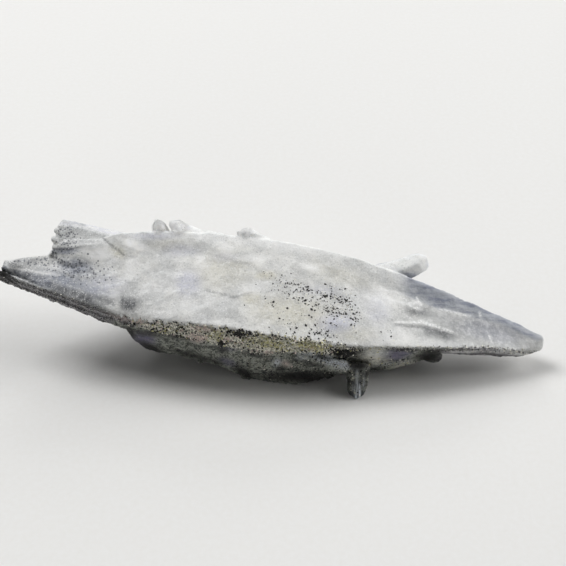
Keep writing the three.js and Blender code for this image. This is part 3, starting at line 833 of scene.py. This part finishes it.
def quartzSurface(tree, colour, dirty, noise):  # glossy and see-through where it is clear and clean
    look = quartzLook
    clear, clean = painted(tree, "clear"), rest(tree, dirty)
    rough = plus(tree, ramp(tree, noise["fine"], 0.3, 0.7, 0.34, 0.5), times(tree, dirty, 0.25))
    rough = times(tree, rough, ramp(tree, times(tree, clear, clean), 0.2, 0.9, 1, 0.2))
    see = times(tree, plus(tree, times(tree, clear, 0.85), 0.05), clean)
    height = plus(tree, times(tree, noise["fine"], 0.7), times(tree, noise["grain"], 0.4))
    bump = wire(tree, "ShaderNodeBump", {"Height": height, "Strength": 0.4, "Distance": 0.4 * mm})
    bump = wire(tree, "ShaderNodeBump", {
        "Height": times(tree, noise["grain"], dirty),
        "Strength": 0.8,
        "Distance": 0.6 * mm,
        "Normal": bump.outputs[0],
    })
    return wire(tree, "ShaderNodeBsdfPrincipled", {
        "Base Color": colour,
        "Roughness": rough,
        "IOR": look["ior"],
        "Transmission Weight": see,
        "Subsurface Weight": ramp(tree, painted(tree, "glow"), 0, 1, 0.3, 1),
        "Subsurface Radius": look["scatterTint"],
        "Subsurface Scale": ramp(tree, painted(tree, "glow"), 0, 1, *look["scatter"]),
        "Normal": bump.outputs[0],
    })


def quartzMaterial():
    look = quartzLook
    material, tree = newMaterial("milkyQuartz")
    inMm = inMillimetres(tree)
    noise = {
        "broad": cloud(tree, inMm, 0.2, 4),
        "veil": cloud(tree, stretched(tree, inMm, 0.6, 1, 1, 25), 0.5, 5, 0.65),
        "fine": cloud(tree, inMm, 1.0, 5, 0.7),
        "grain": cloud(tree, inMm, 3.0, 3, 0.7),
        "lines": cloud(tree, stretched(tree, inMm, 0.12, 1, 1, 4), 1.3, 3),
    }

    # blends a tint in through a painted share: stains, and painted shade where the share marks shade
    def stainAndShade(colour, name, tint, most, low=0.3, high=0.6, least=0.4):
        share = times(tree, painted(tree, name), ramp(tree, noise["fine"], low, high, least * most, most))
        return blend(tree, share, colour, look[tint])

    x = wire(tree, "ShaderNodeSeparateXYZ", {"Vector": inMm}).outputs[0]
    colour = milkyFace(tree, ramp(tree, x, 26, 34, 1, 0.35), noise, stainAndShade)
    colour = wornGrains(tree, inMm, noise, colour)
    flecks = times(tree, painted(tree, "clear"), ramp(tree, noise["grain"], 0.55, 0.64, 0, 0.5))
    colour = blend(tree, flecks, colour, look["smoke"])
    wander = times(tree, maths(tree, "SUBTRACT", noise["grain"], 0.5), 2.4)
    ragged = plus(tree, painted(tree, "below"), wander)
    dirty = ramp(tree, ragged, -0.2, 0.3)
    colour = blend(tree, dirty, colour, dirtColour(tree, inMm, ragged, noise, stainAndShade))
    absorb = {"Color": look["absorb"], "Density": look["absorbDensity"]}
    inside = wire(tree, "ShaderNodeVolumeAbsorption", absorb)
    finishMaterial(tree, quartzSurface(tree, colour, dirty, noise), inside)
    return material


quartz = makeQuartz()
paintQuartz(quartz)
quartz.data.materials.append(quartzMaterial())
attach(quartz, "root")
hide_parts("quartz_cluster")
print("quartz is painted")


# loose crust: small grains and flakes that stand on the quartz

grainShape = {
    "blocks": {"seed": 3, "stretch": (1, 1, 0.8)},
    "slivers": {"seed": 8, "stretch": (1.5, 0.8, 0.6)},
    "flakes": {"seed": 12, "stretch": (1.1, 1, 0.3)},
}
grainRoughness = 0.14  # of a form's width
crumbs = ("blocks", "slivers")

# how many, their sizes in mm, how far they are sunk, their forms, and each tint's share
grainBeds = {
    "crust": {
        "count": 5000, "size": (0.15, 0.5), "sunk": 0.2, "forms": crumbs,
        "tints": {"pale": 11, "pink": 1, "olive": 1, "grey": 4, "black": 5},
    },
    "under": {
        "count": 900, "size": (0.16, 0.5), "sunk": 0.3, "forms": crumbs,
        "tints": {"pale": 1, "grey": 6, "black": 5},
    },
    "edge": {
        "count": 600, "size": (0.14, 0.34), "sunk": 0.25, "forms": crumbs,
        "tints": {"pale": 4, "grey": 2, "black": 9},
    },
    "rim": {
        "count": 700, "size": (0.14, 0.36), "sunk": 0.25, "forms": crumbs,
        "tints": {"pale": 7, "grey": 2, "black": 6},
    },
    "specks": {
        "count": 620, "size": (0.2, 0.56), "sunk": 0.3, "forms": ("flakes", "slivers"),
        "tints": {"black": 1},
    },
    "dust": {
        "count": 200, "size": (0.15, 0.35), "sunk": 0.3, "forms": ("blocks",),
        "tints": {"pale": 1},
    },
}

# how often a grain on one of the quartz's stains takes its tint; the black marks include painted shade low
# on the underside
stainedGrains = {"black": 0.95, "olive": 0.6, "pink": 0.8}

# the largest dark specks of the face: x, height and size
largeSpecks = [
    (11.7, 10.2, 1.14), (11.1, 9.7, 0.93), (9.1, 10.0, 0.93), (7.7, 9.0, 0.93), (7.1, 8.8, 0.56),
    (4.2, 11.8, 0.56), (6.2, 9.6, 0.56), (10.7, 6.7, 1.01), (8.1, 7.3, 0.71), (7.5, 6.9, 0.56),
    (9.3, 11.0, 0.56), (6.9, 3.9, 0.65), (5.2, 3.5, 0.56), (16.5, 5.1, 0.78), (16.7, 6.1, 0.56),
    (16.7, 3.9, 0.56), (15.3, 7.3, 0.65), (15.9, 8.4, 0.56), (12.1, 9.2, 0.50), (12.7, 7.7, 0.56),
    (11.5, 6.1, 0.56), (9.7, 2.5, 0.65), (10.9, 1.5, 0.56), (10.3, 2.1, 0.50), (14.9, 6.1, 0.50),
    (11.9, 4.3, 0.56), (0.4, 8.6, 0.65), (-0.6, 9.0, 0.50), (1.6, 13.8, 0.65), (13.3, 8.4, 0.50),
    (13.9, 7.5, 0.50), (5.4, 10.2, 0.50), (7.9, 11.0, 0.50), (24.0, 1.9, 0.50), (6.9, 8.1, 0.50),
    (8.5, 2.3, 0.50), (13.3, 6.7, 0.50), (15.5, 9.0, 0.50), (0.6, 7.7, 0.50), (3.6, 4.5, 0.50),
]

grainLook = {
    "pale": tone(250, 247, 234),
    "pink": tone(236, 218, 210),
    "olive": tone(208, 203, 152),
    "grey": tone(180, 179, 165),
    "black": tone(14, 14, 14),
}
grainShade = tone(60, 58, 50)

# each tint has a fifth of the grains' colour ramp, and this is its middle
grainTints = {name: (step + 0.5) / len(grainLook) for step, name in enumerate(grainLook)}


def makeGrainForm(name, seed, stretch):  # 1 wide, to be scaled to its size in mm
    bpy.ops.object.select_all(action="DESELECT")
    bpy.ops.mesh.primitive_ico_sphere_add(subdivisions=1, radius=0.5)
    form = bpy.context.active_object
    form.name = name
    bpy.ops.object.mode_set(mode="EDIT")
    bpy.ops.transform.vertex_random(offset=grainRoughness, seed=seed)
    bpy.ops.transform.resize(value=stretch)
    bpy.ops.object.mode_set(mode="OBJECT")
    return form


def bedShares(layout, points, stains):  # how likely each point is to carry a grain of each bed
    x, front, below, depth = layout["x"], layout["front"], layout["below"], layout["depth"]
    dirty = rise(below, -0.5, 0.1)
    middle = rise(x, -30, -22) * fall(x, 14, 19)
    upper = dirty * middle * fall(depth, 0.8, 1.2)
    nearTop = rise(below, -0.7, -0.2) * fall(below, 0.3, 1.2)
    runs = 0.35 + rise(np.sin((layout["height"] + 0.35 * x) * 2.4), 0, 0.8)
    clearOfFloor = rise(points[:, 2], 0.9, 1.3)
    patches = 0.35 + rise(np.sin(1.3 * x + 2 * np.sin(2.1 * layout["height"])), -0.6, 0.8)
    under = front * clearOfFloor * rise(depth, 0.9, 1.3) * rise(x, -12, -2) * fall(x, 32, 38)
    return {
        "crust": upper * front * clearOfFloor * (patches + stains["black"]),
        "under": under * fall(points[:, 1], -6, -2),
        "edge": front * (fall(x, -31, -27) * dirty * 0.5 + fall(np.abs(x + 22), 6, 8) * nearTop),
        "rim": front * rise(x, 16, 22) * nearTop,
        "specks": stains["specks"] ** 1.5 * runs,
        "dust": stains["specks"],
    }


def chooseSeats(layout, points, shares, chance):  # each grain's bed, point and size
    seats = []
    for bed, given in grainBeds.items():
        weights = np.clip(shares[bed], 0, None).tolist()
        small, large = given["size"]
        for point in chance.choices(range(len(points)), weights, k=given["count"]):
            seats.append((bed, point, small + (large - small) * chance.random() ** 2))
    for x, height, size in largeSpecks:
        away = np.hypot(layout["x"] - x, layout["height"] - height)
        away = away + 9 * (points[:, 2] < 3)  # the underside reaches the same heights
        seats.append(("specks", int(np.argmin(away)), size))
    return seats


def makeGrain(forms, given, point, normal, size, chance):
    seat = Vector(point) + Vector(normal) * size * (0.5 - given["sunk"] * 2)
    lay = Vector(normal).to_track_quat("Z", "Y").to_matrix().to_4x4()
    spin = Euler((chance.uniform(-0.5, 0.5), chance.uniform(-0.5, 0.5), chance.uniform(0, 6.3)))
    form = forms[chance.choice(given["forms"])]
    grain = bpy.data.objects.new("grain", form.data.copy())
    bpy.context.scene.collection.objects.link(grain)
    grain.matrix_world = (
        Matrix.Diagonal((mm, mm, mm, 1)) @ Matrix.Translation(seat) @ lay @ spin.to_matrix().to_4x4()
        @ Matrix.Diagonal((size, size, size, 1))
    )
    return grain


def tintOf(tints, stained, chance):
    if len(tints) == 1:
        return next(iter(tints))
    for name, share in stainedGrains.items():
        if chance.random() < stained[name] * share:
            return name
    return chance.choices(list(tints), list(tints.values()))[0]


def makeGrains(quartz):
    forms = {name: makeGrainForm(name, **given) for name, given in grainShape.items()}
    points, normals = pointsOf(quartz), normalsOf(quartz)
    layout = layOut(points)
    stains = {name: spots(layout, quartzStains[name]) for name in ("specks", *stainedGrains)}
    shares = bedShares(layout, points, stains)
    chance = random.Random(11)
    grains = []
    for bed, point, size in chooseSeats(layout, points, shares, chance):
        given = grainBeds[bed]
        grain = makeGrain(forms, given, points[point], normals[point], size, chance)
        stained = {name: stainAndShade[point] for name, stainAndShade in stains.items()}
        tint = grainTints[tintOf(given["tints"], stained, chance)] + chance.uniform(-0.08, 0.08)
        paint(grain, "tint", [tint] * len(grain.data.vertices))
        grains.append(grain)
    for form in forms.values():
        bpy.data.objects.remove(form)
    crust = joined(grains, "crust_grains")
    bpy.ops.object.transform_apply(location=True, rotation=True, scale=True)
    print("crust grains:", triangles(crust), "triangles")
    return crust


def grainMaterial():
    material, tree = newMaterial("crustGrains")
    fine = cloud(tree, inMillimetres(tree), 4, 3, 0.6)
    bands = wire(tree, "ShaderNodeValToRGB", {"Fac": painted(tree, "tint")})
    stops = bands.color_ramp.elements
    bands.color_ramp.interpolation = "CONSTANT"
    for step, colour in enumerate(grainLook.values()):
        stop = stops[0] if step == 0 else stops.new(step / len(grainLook))
        stop.color = colour
    stops.remove(stops[-1])
    colour = blend(tree, ramp(tree, fine, 0.4, 0.7, 0, 0.3), bands.outputs[0], grainShade)
    bump = wire(tree, "ShaderNodeBump", {"Height": fine, "Strength": 0.5, "Distance": 0.2 * mm})
    finishMaterial(tree, wire(tree, "ShaderNodeBsdfPrincipled", {
        "Base Color": colour,
        "Roughness": ramp(tree, fine, 0.3, 0.7, 0.55, 0.85),
        "IOR": quartzLook["ior"],
        "Normal": bump.outputs[0],
    }))
    return material


grains = makeGrains(quartz)
grains.data.materials.append(grainMaterial())
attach(grains, "root")
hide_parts("quartz_cluster")
